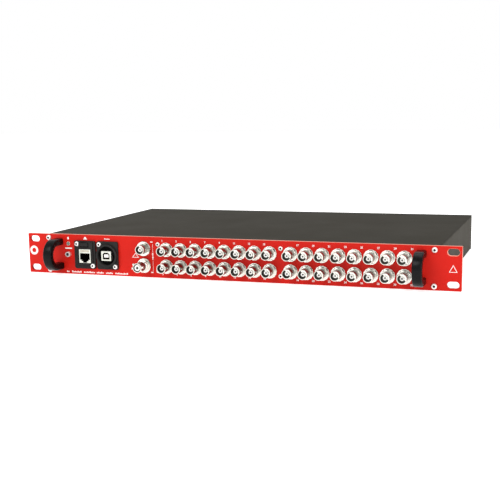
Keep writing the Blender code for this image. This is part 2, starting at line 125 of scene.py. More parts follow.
def two_tones(nodes, first, last, start=0.0, end=1.0):
    """A ramp that goes from one tone to another between two values."""
    ramp = nodes.new("ShaderNodeValToRGB")
    for element, tone, position in zip(ramp.color_ramp.elements, (first, last), (start, end)):
        element.position = position
        element.color = (*tone, 1.0)
    return ramp


def surface(name, dark, light, patch_scale, rough, metallic=0.0, grain_scale=900.0, grain=0.1,
            grain_height=0.00003, stretch=(1.0, 1.0, 1.0), specular=0.5):
    """A finish whose colour drifts between two tones, with uneven gloss and a fine relief."""
    mat, nodes, links, shader = blank_material(name, metallic, specular=specular)
    coords = nodes.new("ShaderNodeTexCoord")
    patches = noise(nodes, links, coords, patch_scale, 4.0, stretch)
    tones = two_tones(nodes, dark, light, 0.3, 0.7)
    links.new(patches, tones.inputs["Fac"])
    links.new(tones.outputs["Color"], shader.inputs["Base Color"])
    gloss = nodes.new("ShaderNodeMapRange")
    gloss.inputs["From Min"].default_value = 0.3
    gloss.inputs["From Max"].default_value = 0.7
    gloss.inputs["To Min"].default_value = rough[0]
    gloss.inputs["To Max"].default_value = rough[1]
    links.new(noise(nodes, links, coords, patch_scale * 2.7, 3.0, stretch), gloss.inputs["Value"])
    links.new(gloss.outputs["Result"], shader.inputs["Roughness"])
    bump = nodes.new("ShaderNodeBump")
    bump.inputs["Strength"].default_value = grain
    bump.inputs["Distance"].default_value = grain_height
    links.new(noise(nodes, links, coords, grain_scale, 2.0, stretch), bump.inputs["Height"])
    links.new(bump.outputs["Normal"], shader.inputs["Normal"])
    return mat


def light_lens():
    """Clear green plastic that lets some light through."""
    mat, nodes, links, shader = blank_material("light_lens", 0.0, coat=0.5, specular=0.6)
    coords = nodes.new("ShaderNodeTexCoord")
    tones = two_tones(nodes, (0.08, 0.12, 0.08), (0.26, 0.33, 0.25))
    links.new(noise(nodes, links, coords, 500.0, 2.0), tones.inputs["Fac"])
    links.new(tones.outputs["Color"], shader.inputs["Base Color"])
    shader.inputs["Roughness"].default_value = 0.12
    shader.inputs["Transmission Weight"].default_value = 0.35
    return mat


def circuit_board():
    """Green solder mask with paler copper tracks under it."""
    mat, nodes, links, shader = blank_material("circuit_board", 0.0, coat=0.3)
    coords = nodes.new("ShaderNodeTexCoord")
    tracks = nodes.new("ShaderNodeTexBrick")
    tracks.inputs["Scale"].default_value = 90.0
    tracks.inputs["Mortar Size"].default_value = 0.03
    tracks.inputs["Color1"].default_value = (0.012, 0.09, 0.035, 1.0)
    tracks.inputs["Color2"].default_value = (0.018, 0.13, 0.05, 1.0)
    tracks.inputs["Mortar"].default_value = (0.05, 0.24, 0.1, 1.0)
    links.new(coords.outputs["Object"], tracks.inputs["Vector"])
    links.new(tracks.outputs["Color"], shader.inputs["Base Color"])
    gloss = nodes.new("ShaderNodeMapRange")
    gloss.inputs["To Min"].default_value = 0.3
    gloss.inputs["To Max"].default_value = 0.5
    links.new(noise(nodes, links, coords, 120.0), gloss.inputs["Value"])
    links.new(gloss.outputs["Result"], shader.inputs["Roughness"])
    return mat


def ribbon_cable():
    """Grey ribbed insulation: the ribs run along the cable."""
    mat, nodes, links, shader = blank_material("ribbon_cable", 0.0)
    coords = nodes.new("ShaderNodeTexCoord")
    wave = nodes.new("ShaderNodeTexWave")
    wave.bands_direction = "X"
    wave.inputs["Scale"].default_value = 125.0
    links.new(coords.outputs["Object"], wave.inputs["Vector"])
    tones = two_tones(nodes, (0.22, 0.22, 0.22), (0.48, 0.48, 0.46))
    links.new(wave.outputs["Fac"], tones.inputs["Fac"])
    links.new(tones.outputs["Color"], shader.inputs["Base Color"])
    shader.inputs["Roughness"].default_value = 0.5
    return mat


def make_materials():
    return {
        "red": surface("red_powder_coat", (0.5, 0.009, 0.004), (0.57, 0.012, 0.006), 9.0, (0.38, 0.46),
                       grain_scale=1400.0, grain=0.12, grain_height=0.00004, specular=0.12),
        # paler red for the panel's outer walls: a painted highlight on its edges; the upper right slot's rim
        # takes it too
        "edge": surface("panel_edge_painted_highlight", (0.76, 0.22, 0.14), (0.86, 0.38, 0.26), 60.0, (0.3, 0.5),
                        stretch=(0.2, 1.0, 1.0), specular=0.3),
        "black": surface("black_anodise", (0.0015, 0.002, 0.002), (0.0025, 0.003, 0.0035), 60.0, (0.22, 0.32),
                         grain=0.08, specular=0.13),
        "plastic": surface("black_moulding", (0.015, 0.0142, 0.0135), (0.023, 0.022, 0.021), 90.0,
                           (0.4, 0.52), grain_scale=1800.0, grain=0.2, specular=0.1),
        # near black: painted shade for screw sockets, contact bores, washer slits and socket cavities
        "shade_black": surface("black_painted_shade", (0.001, 0.001, 0.001), (0.003, 0.003, 0.003), 90.0, (0.6, 0.8),
                        specular=0.05),
        "nickel": surface("nickel_plate", (0.68, 0.67, 0.61), (0.84, 0.83, 0.77), 120.0, (0.1, 0.24), 1.0,
                          grain_scale=700.0, grain=0.05),
        # a darker copy of the nickel for the barrels' sides: painted shade
        "barrel": surface("nickel_barrel_painted_shade", (0.2, 0.19, 0.17), (0.3, 0.28, 0.26), 120.0, (0.12, 0.24), 1.0,
                          grain_scale=700.0, grain=0.05),
        "nut": surface("nickel_nut", (0.74, 0.73, 0.67), (0.88, 0.87, 0.81), 150.0, (0.2, 0.36), 1.0,
                       grain_scale=1200.0, grain=0.12),
        "sheet": surface("plated_sheet", (0.6, 0.62, 0.54), (0.72, 0.73, 0.66), 160.0, (0.25, 0.42), 0.85,
                         grain=0.08),
        "steel": surface("stainless_screw", (0.82, 0.81, 0.78), (0.93, 0.92, 0.89), 300.0, (0.28, 0.4), 0.7,
                         grain=0.08),
        "chassis": surface("grey_powder_coat", (0.046, 0.041, 0.031), (0.052, 0.046, 0.035), 6.0,
                           (0.55, 0.6), grain_scale=1100.0, grain=0.25, grain_height=0.00006, specular=0.02),
        "lid": surface("lid_powder_coat", (0.031, 0.028, 0.0205), (0.036, 0.032, 0.024), 6.0, (0.55, 0.6),
                       grain_scale=1100.0, grain=0.25, grain_height=0.00006, specular=0.02),
        "bore": surface("shaded_nickel", (0.05, 0.048, 0.04), (0.1, 0.095, 0.085), 200.0, (0.3, 0.45), 0.8,
                        grain=0.05),
        "cream": surface("cream_strip", (0.5, 0.45, 0.36), (0.6, 0.55, 0.45), 240.0, (0.4, 0.5)),
        "white": surface("white_insulator", (0.74, 0.73, 0.7), (0.86, 0.85, 0.82), 240.0, (0.3, 0.45)),
        "print": surface("white_print", (0.78, 0.74, 0.71), (0.9, 0.87, 0.84), 400.0, (0.45, 0.6),
                         grain_scale=3000.0),
        "gold": surface("gold_contact", (0.42, 0.27, 0.09), (0.55, 0.37, 0.14), 200.0, (0.15, 0.3), 1.0),
        "mains": surface("mains_moulding", (0.01, 0.01, 0.011), (0.022, 0.022, 0.024), 70.0, (0.35, 0.5),
                         grain_scale=1500.0, grain=0.15),
        "lens": light_lens(),
        "board": circuit_board(),
        "ribbon": ribbon_cable(),
    }


# ---------------------------------------------------------------- shapes

def millimetres(points):
    return [(a * MM, b * MM) for a, b in points]


def arc(cx, cy, radius, start, end, steps):
    """Points of a round stretch, from one angle to another, in degrees."""
    angles = [math.radians(start + (end - start) * i / steps) for i in range(steps + 1)]
    return [(cx + radius * math.cos(a), cy + radius * math.sin(a)) for a in angles]


def circle(radius, sides=ROUND, cx=0.0, cz=0.0):
    return arc(cx, cz, radius, 0, 360 - 360 / sides, sides - 1)


def rounded(half_w, half_h, radius, steps=6, cx=0.0, cz=0.0):
    """A rectangle with round corners, anticlockwise."""
    outline = []
    for sx, sz, start in ((1, 1, 0), (-1, 1, 90), (-1, -1, 180), (1, -1, 270)):
        corner = (cx + sx * (half_w - radius), cz + sz * (half_h - radius))
        outline += arc(*corner, radius, start, start + 90, steps)
    return outline


def rectangle(x0, x1, z0, z1):
    return [(x0, z0), (x1, z0), (x1, z1), (x0, z1)]


def offset(outline, distance):
    """An outline moved outwards by a distance; it runs anticlockwise."""
    moved = []
    n = len(outline)
    for i in range(n):
        before = Vector(outline[i - 1])
        here = Vector(outline[i])
        after = Vector(outline[(i + 1) % n])
        a = (here - before).normalized()
        b = (after - here).normalized()
        bisector = Vector((a.y + b.y, -a.x - b.x))
        reach = 1 + a.dot(b)
        moved.append(tuple(here + bisector * (distance / max(reach, 0.3))))
    return moved


def ring(outline, y):
    return [(x, y, z) for x, z in outline]


def loft(bm, rings, caps=True, loop=False, mat=0):
    """Skin a row of rings that have the same number of points."""
    layers = [[bm.verts.new(p) for p in points] for points in rings]
    pairs = list(zip(layers, layers[1:]))
    if loop:
        pairs.append((layers[-1], layers[0]))
    n = len(layers[0])
    for a, b in pairs:
        for i in range(n):
            j = (i + 1) % n
            bm.faces.new((a[i], a[j], b[j], b[i])).material_index = mat
    if caps and not loop:
        bm.faces.new(layers[0]).material_index = mat
        bm.faces.new(layers[-1]).material_index = mat


def turned(bm, profile, sides=ROUND, cx=0.0, cz=0.0, mat=0, loop=False, caps=True):
    """A profile of (radius, y) turned round the y axis."""
    loft(bm, [ring(circle(max(r, 1e-6), sides, cx, cz), y) for r, y in profile], caps, loop, mat)


def block(bm, x0, x1, y0, y1, z0, z1, mat=0):
    loft(bm, [ring(rectangle(x0, x1, z0, z1), y) for y in (y0, y1)], mat=mat)


def plate(bm, outline, holes, y0, y1, chamfer, face=0, edge=0, pale_hole=None):
    """A plate with holes, from y0 in front to y1 behind, with a chamfer round every front and rear edge.

    The outer walls take the edge material, like the whole rim of the pale hole, if one is named by its
    place in the list of holes. Everything else takes the face material.
    """
    rings = []
    for index, loop_points in enumerate([outline] + holes):
        shrink = -chamfer if index == 0 else chamfer
        inset = offset(loop_points, shrink)
        levels = [(inset, y0), (loop_points, y0 + chamfer), (loop_points, y1 - chamfer), (inset, y1)]
        layers = [[bm.verts.new((x, y, z)) for x, z in points] for points, y in levels]
        n = len(loop_points)
        pale_rim = pale_hole is not None and index == pale_hole + 1
        rim = edge if pale_rim else face
        wall = edge if pale_rim or index == 0 else face
        for a, b, mat in zip(layers, layers[1:], (rim, wall, face)):
            for i in range(n):
                j = (i + 1) % n
                bm.faces.new((a[i], a[j], b[j], b[i])).material_index = mat
        rings.append((layers[0], layers[-1]))
    for side in (0, 1):
        verts = [v for pair in rings for v in pair[side]]
        lines = [[v.co for v in pair[side]] for pair in rings]
        for corners in tessellate_polygon(lines):
            triangle = [verts[i] for i in corners]
            if len(set(triangle)) == 3 and bm.faces.get(triangle) is None:
                bm.faces.new(triangle).material_index = face


def hexagon_radius(angle, across_flats):
    """How far a hexagon with a flat on top reaches at an angle."""
    step = math.pi / 3
    return across_flats / 2 / math.cos((angle % step) - step / 2)


def hex_nut(bm, across_flats, bore, y_back, y_front):
    """A nut whose corners are chamfered by a cone, with a countersunk bore."""
    sides = 48
    face_r = across_flats / 2 * 0.95
    angles = [2 * math.pi * (i + 0.5) / sides for i in range(sides)]

    def at(radius, y):
        return [(radius * math.cos(a), y, radius * math.sin(a)) for a in angles]

    crown = []
    for a in angles:
        reach = hexagon_radius(a, across_flats)
        drop = (reach - face_r) * 0.58
        crown.append((reach * math.cos(a), y_front + drop, reach * math.sin(a)))
    skirt = [(x, y_back, z) for x, _, z in crown]
    loft(bm, [at(bore, y_back), at(bore, y_front + 0.4 * MM), at(bore + 0.4 * MM, y_front),
              at(face_r, y_front), crown, skirt], loop=True)


def cross_cylinder(bm, x0, x1, y, radius):
    """A pin along x, with a rounded outer end."""
    rings = []
    for x, share in ((x0, 1.0), (x0 + (x1 - x0) * 0.8, 1.0), (x1, 0.7)):
        rings.append([(x, across, along) for across, along in circle(radius * share, 16, y, 0.0)])
    loft(bm, rings)


def stamp(bm, build, matrix):
    """Add a shape to a bmesh, moved by a matrix."""
    part = bmesh.new()
    build(part)
    part.transform(matrix)
    mesh = bpy.data.meshes.new("stamp")
    part.to_mesh(mesh)
    part.free()
    bm.from_mesh(mesh)
    bpy.data.meshes.remove(mesh)


def mesh_from(name, build, mats, smooth_angle=32.0):
    """Make a mesh with a building function, which adds shapes to a bmesh."""
    bm = bmesh.new()
    build(bm)
    bmesh.ops.remove_doubles(bm, verts=bm.verts, dist=2e-6)
    bmesh.ops.recalc_face_normals(bm, faces=bm.faces)
    mesh = bpy.data.meshes.new(name)
    bm.to_mesh(mesh)
    bm.free()
    for mat in mats:
        mesh.materials.append(mat)
    mesh.shade_smooth()
    mesh.set_sharp_from_angle(angle=math.radians(smooth_angle))
    return mesh


def show(name, mesh, location=(0.0, 0.0, 0.0), body="unit", stands_for=()):
    """Put a mesh in its place as a piece, on its body."""
    obj = bpy.data.objects.new(name, mesh)
    bpy.context.scene.collection.objects.link(obj)
    obj.location = FRONT + Vector(location)
    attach(obj, body)
    if stands_for:
        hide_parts(*stands_for)


def piece(name, build, mats, location=(0.0, 0.0, 0.0), body="unit", stands_for=(), smooth_angle=32.0):
    """Build a piece that is used once, and put it in its place."""
    show(name, mesh_from(name, build, mats, smooth_angle), location, body, stands_for)


# ---------------------------------------------------------------- front panel

def slot_outline(cx, cz):
    """An obround rack slot."""
    return rounded(6.0 * MM, 3.49 * MM, 3.49 * MM, 8, cx, cz)


def front_panel(mats):
    """Powder-coated plate whose outer walls are a paler red as a painted highlight, with the upper right
    slot's rim in the same pale red, and every hole that the real panel has.
    """
    half_w = PANEL_HIGH.x
    half_h = (PANEL_HIGH.z - PANEL_LOW.z) / 2
    holes = []
    for sx in (-1, 1):
        for sz in (-1, 1):
            holes.append(slot_outline(sx * SLOT_X, sz * SLOT_Z))
    upper_right_slot = len(holes) - 1
    for node in JACKS + ["reference_jack", "trigger_jack"]:
        middle = centre_of(node)
        holes.append(circle(4.9 * MM, 28, middle.x, middle.z))
    for node in ("rj45_flange", "usb_flange"):
        middle = centre_of(node)
        holes.append(circle(12.1 * MM, 36, middle.x, middle.z))
    led = centre_of("status_led")
    reset = centre_of("reset_button")
    holes.append(circle(2.0 * MM, 20, led.x, led.z))
    holes.append(circle(2.5 * MM, 20, reset.x, reset.z))
    outline = rounded(half_w, half_h, 0.6 * MM, 3)

    def build(bm):
        plate(bm, outline, holes, 0.0, PANEL_T, 0.25 * MM, edge=1, pale_hole=upper_right_slot)

    piece("panel_plate", build, [mats["red"], mats["edge"]], stands_for=["front_panel"],
          smooth_angle=30.0)


def text_mesh(words, height, places, lift):
    """Printed characters, one for each place, facing the front."""
    bm = bmesh.new()
    for word, (x, z) in zip(words, places):
        curve = bpy.data.curves.new("print", "FONT")
        curve.body = word
        curve.size = height / 0.72
        curve.align_x = "CENTER"
        curve.align_y = "CENTER"
        curve.extrude = 0.02 * MM
        curve.offset = 0.09 * MM
        curve.resolution_u = 4
        holder = bpy.data.objects.new("print", curve)
        bpy.context.scene.collection.objects.link(holder)
        bpy.context.view_layer.update()
        mesh = bpy.data.meshes.new_from_object(holder.evaluated_get(bpy.context.evaluated_depsgraph_get()))
        turn = Matrix.Translation((x, -lift, z)) @ Matrix.Rotation(math.radians(90), 4, "X")
        mesh.transform(turn)
        bm.from_mesh(mesh)
        bpy.data.objects.remove(holder)
        bpy.data.curves.remove(curve)
        bpy.data.meshes.remove(mesh)
    mesh = bpy.data.meshes.new("panel_numbers")
    bm.to_mesh(mesh)
    bm.free()
    return mesh


def panel_numbers(mats):
    """Channel numbers: odd ones over the upper row, even ones under the lower row."""
    words = []
    places = []
    shifts = {0: (-4.6 * MM, -0.2 * MM), 1: (7.4 * MM, 0.0)}
    for index, node in enumerate(JACKS):
        group, column = divmod(index // 2, 8)
        start, drift = shifts[group]
        x = centre_of(node).x + start + drift * column
        z = 18.0 * MM if index % 2 == 0 else -18.1 * MM
        words.append(str(index + 1))
        places.append((x, z))
    mesh = text_mesh(words, 2.0 * MM, places, 0.04 * MM)
    mesh.materials.append(mats["print"])
    show("panel_numbers", mesh)


def printed(bm, outline, holes=()):
    """A flat printed patch, a hair thick, on the panel's face."""
    plate(bm, outline, list(holes), -0.05 * MM, -0.01 * MM, 0.005 * MM)


def triangle(cx, cz, half_w, half_h):
    return [(cx - half_w, cz - half_h), (cx + half_w, cz - half_h), (cx, cz + half_h)]


def word_bar(bm, x, z, length, upright=False):
    """A word drawn as a row of plain blocks of uneven height, which spell nothing."""
    step = 1.75
    heights = (1.9, 1.3, 1.5, 1.2, 1.7, 1.3)
    for i in range(max(1, round(length / step))):
        height = heights[(i + round(length)) % len(heights)]
        along = i * step + step / 2
        middle = (x, z - along) if upright else (x + along, z - 0.95 + height / 2)
        half = (height / 2, 0.66) if upright else (0.66, height / 2)
        printed(bm, rounded(half[0] * MM, half[1] * MM, 0.2 * MM, 2, middle[0] * MM, middle[1] * MM))


def panel_marks(mats):
    """Plain printed marks: rules, rows of word bars, outline triangles, simple pictograms and a ring."""
    rules = [(-87.4, -87.12, -15.6, -3.6), (-87.4, -87.12, 4.8, 14.6), (-194.7, -186.0, 6.0, 7.3)]
    bars = [(1.4, 0.55, -88.5, 16.6), (1.4, 0.55, -88.5, -16.6), (2.35, 0.5, -169.0, 17.55),
            (1.1, 0.8, -169.0, 18.9), (3.2, 0.35, -141.8, 18.2)]
    triangles = [(232.9, 0.1, 4.2, 3.7), (-108.0, 1.6, 4.1, 2.6)]

    def build(bm):
        for rule in rules:
            printed(bm, rectangle(*[edge * MM for edge in rule]))
        for half_w, half_h, cx, cz in bars:
            printed(bm, rounded(half_w * MM, half_h * MM, 0.3 * MM, 3, cx * MM, cz * MM))
        word_bar(bm, -87.3, 4.4, 7.5, upright=True)
        printed(bm, rounded(1.0 * MM, 1.4 * MM, 0.99 * MM, 6, -190.4 * MM, 17.9 * MM))
        x = -194.0
        for length in (4.0, 12.5, 13.5, 9.0, 9.0, 15.5):
            word_bar(bm, x, -19.5, length)
            x += length + 2.5
        for cx, cz, half_w, half_h in triangles:
            outer = triangle(cx * MM, cz * MM, half_w * MM, half_h * MM)
            printed(bm, outer, [offset(outer, -0.55 * MM)])
        printed(bm, circle(0.9 * MM, 20, -144.6 * MM, 18.2 * MM))
        mark = (-234.6 * MM, 3.1 * MM)
        printed(bm, circle(5.1 * MM, 40, *mark), [circle(2.6 * MM, 40, *mark)])

    piece("panel_marks", build, [mats["print"]])


def handles(mats):
    """Bent black bars with a rounded section."""
    low, high = box_of("handle_left")
    half_h = (high.z - low.z) / 2
    radius = HANDLE_BEND - HANDLE_BAR / 2
    top = half_h - HANDLE_BAR / 2
    front = low.y + HANDLE_BAR / 2
    path = [(-GAP, -top)]
    path += arc(front + radius, -top + radius, radius, 270, 180, 20)
    path += arc(front + radius, top - radius, radius, 180, 90, 20)[1:]
    path += [(-GAP, top)]
    section = rounded((high.x - low.x) / 2, HANDLE_BAR / 2, 1.6 * MM, 5)

    def build(bm):
        rings = []
        for i, (y, z) in enumerate(path):
            before = Vector(path[max(i - 1, 0)])
            after = Vector(path[min(i + 1, len(path) - 1)])
            along = (after - before).normalized()
            across = Vector((-along.y, along.x))
            rings.append([(u, y + across.x * v, z + across.y * v) for u, v in section])
        loft(bm, rings)

    mesh = mesh_from("handle", build, [mats["black"]], 40.0)
    for side in ("left", "right"):
        node = f"handle_{side}"
        show(f"{node}_bar", mesh, face_point(node), stands_for=[node])


def hex_screw(bm, head_r, head_h, socket, y_face, cx=0.0, cz=0.0):
    """A button-head screw whose hexagon socket is painted near black as shade; its head stands on y_face."""
    sides = 24
    curve = [(0.9, 0.0), (1.0, 0.12), (0.96, 0.4), (0.84, 0.75), (0.66, 0.96), (0.58, 1.0)]
    angles = [2 * math.pi * i / sides for i in range(sides)]
    reaches = [hexagon_radius(a, socket) for a in angles]

    def hexagon(y):
        return [(cx + r * math.cos(a), y, cz + r * math.sin(a)) for a, r in zip(angles, reaches)]

    top = y_face - head_h
    head = [ring(circle(head_r * wide, sides, cx, cz), y_face - head_h * high) for wide, high in curve]
    loft(bm, head + [hexagon(top + 0.1 * MM)], caps=False)
    floor = top + 0.45 * MM
    loft(bm, [hexagon(top + 0.1 * MM), hexagon(floor - 0.02 * MM), hexagon(floor)], mat=1)


def front_screws(mats):
    """Four corner screws, two screws in each flange and four that hold the jack boards."""
    def corner(bm):
        hex_screw(bm, 3.0 * MM, 1.8 * MM, 2.4 * MM, -GAP / 2)
        turned(bm, [(1.45 * MM, -GAP / 2), (1.45 * MM, 9 * MM)], 16)

    mesh = mesh_from("panel_screw", corner, [mats["steel"], mats["shade_black"]])
    for place in ("upper_left", "upper_right", "lower_left", "lower_right"):
        node = f"panel_screw_{place}"
        show(f"{node}_head", mesh, face_point(node), stands_for=[node])

    def flange_screws(bm):
        for node in ("rj45_flange", "usb_flange"):
            middle = centre_of(node)
            for dx, dz in FLANGE_SCREWS:
                hex_screw(bm, 2.75 * MM, 1.5 * MM, 2.2 * MM, -2.52 * MM, middle.x + dx, middle.z + dz)

    piece("flange_screws", flange_screws, [mats["steel"], mats["shade_black"]])

    def board_screws(bm):
        for x in (-81.0 * MM, 57.5 * MM):
            for z in (-14.7 * MM, 14.3 * MM):
                hex_screw(bm, 2.5 * MM, 1.4 * MM, 2.0 * MM, -0.02 * MM, x, z)

    piece("board_screws", board_screws, [mats["steel"], mats["shade_black"]])


# ---------------------------------------------------------------- coaxial jacks

def barrel_front(bm, front, depth, back):
    """The open end of a connector: the barrel, its rim, and a bore painted with light and shade, bright on
    its upper right half and dark on its lower left half.
    """
    bore = BARREL_BORE_R
    floor = front + depth
    # the barrel's side takes the third material, the darker nickel: painted shade
    turned(bm, [(BARREL_R, back), (BARREL_R, front + 1.1 * MM)], mat=2, caps=False)
    turned(bm, [
        (BARREL_R, front + 1.1 * MM), (BARREL_R, front + 0.35 * MM), (BARREL_R - 0.25 * MM, front),
        (bore + 0.15 * MM, front), (bore, front + 0.25 * MM),
    ], caps=False)
    # painted light and shade in the bore: its faces take the dark second material, and those on the upper
    # right half are set back to the bright first one
    seen = len(bm.faces)
    turned(bm, [(bore, front + 0.25 * MM), (bore, floor), (bore / 2, floor), (0.0, floor)], mat=1, caps=False)
    bm.faces.ensure_lookup_table()
    for face in bm.faces[seen:]:
        middle = face.calc_center_median()
        if middle.x + middle.z > 0.5 * MM:
            face.material_index = 0


def jack_shell(bm, front, rear, nut_face):
    """Threaded bush, bayonet barrel and bore of a coaxial jack."""
    turns = 9
    pitch = (rear - nut_face) / turns
    thread = []
    for i in range(turns):
        thread += [(4.55 * MM, rear - pitch * i), (4.35 * MM, rear - pitch * (i + 0.5))]
    back = nut_face - 0.7 * MM
    turned(bm, [(0.0, rear), (4.2 * MM, rear)] + thread + [
        (4.5 * MM, nut_face), (4.5 * MM, nut_face - 0.3 * MM), (BARREL_R, back),
    ], caps=False)
    barrel_front(bm, front, 3.8 * MM, back)
    for side in (-1, 1):
        cross_cylinder(bm, side * 4.5 * MM, side * 5.7 * MM, front + 4.8 * MM, 0.85 * MM)


def insulator(bm, cx, cz, front, depth, radius, hole):
    """White disc and sleeve in the bore, with a hole for the centre contact."""
    turned(bm, [
        (radius * 0.9, front + depth), (radius, front + 0.3 * MM), (radius * 0.93, front),
        (hole + 0.15 * MM, front), (hole, front + 0.15 * MM), (hole, front + depth * 0.6),
        (0.0, front + depth * 0.6),
    ], 28, cx, cz)


def contact(bm, cx, cz, front, radius):
    """Centre socket: a tube that fills the hole in the insulator, painted dark as shade, in darkened nickel
    with a near-black floor.
    """
    bore = 0.45 * MM
    back = front + 3 * MM
    floor = front + 2.4 * MM
    turned(bm, [(0.0, back), (radius, back), (radius, front), (bore, front)], 16, cx, cz, caps=False)
    turned(bm, [(bore, front), (bore, floor), (0.0, floor)], 16, cx, cz, mat=1, caps=False)


def washer(bm, radius, bore, y_back, y_front, teeth, cx=0.0, cz=0.0):
    """A lock washer with shallow teeth round its edge, and two slits of painted shade above the nut, dark
    arcs where gaps between its teeth show in shadow.
    """
    sides = teeth * 4
    outline = []
    for i in range(sides):
        a = 2 * math.pi * i / sides
        r = radius - (0.2 * MM if i % 4 in (2, 3) else 0.0)
        outline.append((cx + r * math.cos(a), cz + r * math.sin(a)))
    plate(bm, outline, [circle(bore, sides, cx, cz)], y_front, y_back, 0.1 * MM)
    # painted shade: dark arcs at the top and the upper right only
    for middle in (90, 36):
        start = middle - 17
        end = middle + 17
        slit = arc(cx, cz, 7.05 * MM, start, end, 6) + arc(cx, cz, 6.5 * MM, end, start, 6)
        loft(bm, [ring(slit, y_front - 0.02 * MM), ring(slit, y_front + 0.05 * MM)], mat=1)


def numbered_jacks(mats):
    """The 32 jacks: a shell and a nut each, and their insulators, contacts and washers."""
    low, high = box_of("jack_01")
    washer_face = -1.0 * MM
    nut_face = -3.1 * MM
    inner_front = low.y + 2.2 * MM

    def shell_shape(bm):
        jack_shell(bm, low.y, high.y, nut_face)

    def nut_shape(bm):
        hex_nut(bm, NUT_FLATS, 4.62 * MM, washer_face, nut_face)

    shell = mesh_from("jack_shell", shell_shape, [mats["nickel"], mats["bore"], mats["barrel"]])
    nut = mesh_from("jack_nut", nut_shape, [mats["nut"]], 25.0)
    for node in JACKS:
        show(f"{node}_shell", shell, face_point(node), stands_for=[node])
        show(f"{node}_nut", nut, face_point(node))
    centres = [centre_of(node) for node in JACKS]

    def insulators(bm):
        for c in centres:
            insulator(bm, c.x, c.z, inner_front, 6.2 * MM, 2.2 * MM, 0.95 * MM)

    def contacts(bm):
        for c in centres:
            contact(bm, c.x, c.z, inner_front + 0.5 * MM, 0.9 * MM)

    def washers(bm):
        for c in centres:
            washer(bm, 7.75 * MM, 4.7 * MM, -0.02 * MM, washer_face, 14, c.x, c.z)

    piece("jack_insulators", insulators, [mats["white"]])
    piece("jack_contacts", contacts, [mats["bore"], mats["shade_black"]])
    piece("jack_washers", washers, [mats["nut"], mats["shade_black"]], smooth_angle=25.0)


def left_connectors(mats):
    """The short round-flanged jack and the long stepped one below it."""
    short = centre_of("reference_jack")
    long = centre_of("trigger_jack")
    short_front = box_of("reference_jack")[0].y
    long_front = box_of("trigger_jack")[0].y
    rear_end = box_of("reference_jack")[1].y
    flange_face = -2.3 * MM
    metal = [mats["nickel"], mats["bore"], mats["barrel"]]

    def flange(bm):
        rim = millimetres([(4.6, -0.02), (8.05, -0.02), (8.2, -0.2), (8.2, -1.6)])
        front = [(7.7 * MM, flange_face), (5.6 * MM, flange_face)]
        turned(bm, rim + front + millimetres([(5.5, -2.0), (4.6, -2.0)]), loop=True)
        # a small dark dot on the flange's face
        turned(bm, [(0.55 * MM, flange_face + 0.02 * MM), (0.55 * MM, flange_face - 0.02 * MM)], 12,
               4.3 * MM, 5.0 * MM, mat=1)

    def short_shell(bm):
        jack_shell(bm, short_front, rear_end, flange_face)
        flange(bm)

    def stud(bm):
        cross_cylinder(bm, 4.6 * MM, 7.0 * MM, long_front + 1.7 * MM, 1.15 * MM)

    def long_shell(bm):
        flange(bm)
        back = -7.2 * MM
        tail = [(0.0, rear_end), (4.2 * MM, rear_end), (4.55 * MM, rear_end - 0.3 * MM)]
        steps = millimetres([
            (4.55, -2.0), (6.1, -2.1), (6.1, -3.4), (5.7, -3.6), (5.7, -4.0), (6.1, -4.2), (6.1, -6.6),
            (5.7, -7.0),
        ])
        turned(bm, tail + steps + [(BARREL_R, back)], caps=False)
        barrel_front(bm, long_front, 5.0 * MM, back)
        for angle in (144, 187, -36, 7):
            stamp(bm, stud, Matrix.Rotation(math.radians(-angle), 4, "Y"))

    def insulators(bm):
        insulator(bm, short.x, short.z, short_front + 1.6 * MM, 6.8 * MM, 2.3 * MM, 0.95 * MM)
        insulator(bm, long.x, long.z, long_front + 0.6 * MM, 7.9 * MM, 3.3 * MM, 1.6 * MM)

    def contacts(bm):
        contact(bm, short.x, short.z, short_front + 2.1 * MM, 0.9 * MM)
        contact(bm, long.x, long.z, long_front + 1.5 * MM, 1.55 * MM)

    for node, build in (("reference_jack", short_shell), ("trigger_jack", long_shell)):
        piece(f"{node}_shell", build, metal, face_point(node), stands_for=[node])
    piece("left_insulators", insulators, [mats["white"]])
    piece("left_contacts", contacts, [mats["bore"], mats["shade_black"]])


# ---------------------------------------------------------------- data sockets, light and button

def flange_plate(bm, opening):
    """The flat plate that both data sockets have, with its opening and two screw holes."""
    holes = [opening] + [circle(1.6 * MM, 16, *screw) for screw in FLANGE_SCREWS]
    plate(bm, rounded(*FLANGE_OUTLINE), holes, FLANGE_FACE, -GAP, 0.25 * MM)


def network_flange(mats, place):
    """Flange with a C-shaped raised face round its opening, and the body behind it."""
    seat = rectangle(-7.5 * MM, 7.5 * MM, -9.5 * MM, 6.5 * MM)
    raised = millimetres([
        (8.1, -8.4), (10.3, -8.4), (10.3, 14.6), (-6.2, 14.6), (-6.2, 8.8), (-8.6, 8.8), (-8.6, -11.4),
        (6.0, -11.4), (6.0, -9.6), (-7.6, -9.6), (-7.6, 6.6), (8.1, 6.6),
    ])
    pocket = rounded(5.4 * MM, 2.6 * MM, 0.5 * MM, 4, 0, 11.1 * MM)
    bore = rectangle(-7.1 * MM, 7.1 * MM, -9.3 * MM, 6.7 * MM)

    def build(bm):
        flange_plate(bm, seat)
        plate(bm, raised, [pocket], -3.9 * MM, FLANGE_FACE, 0.25 * MM)
        plate(bm, circle(11.7 * MM), [bore], -GAP, 12 * MM, 0.2 * MM)

    piece("network_flange", build, [mats["plastic"]], place, stands_for=["rj45_flange"])


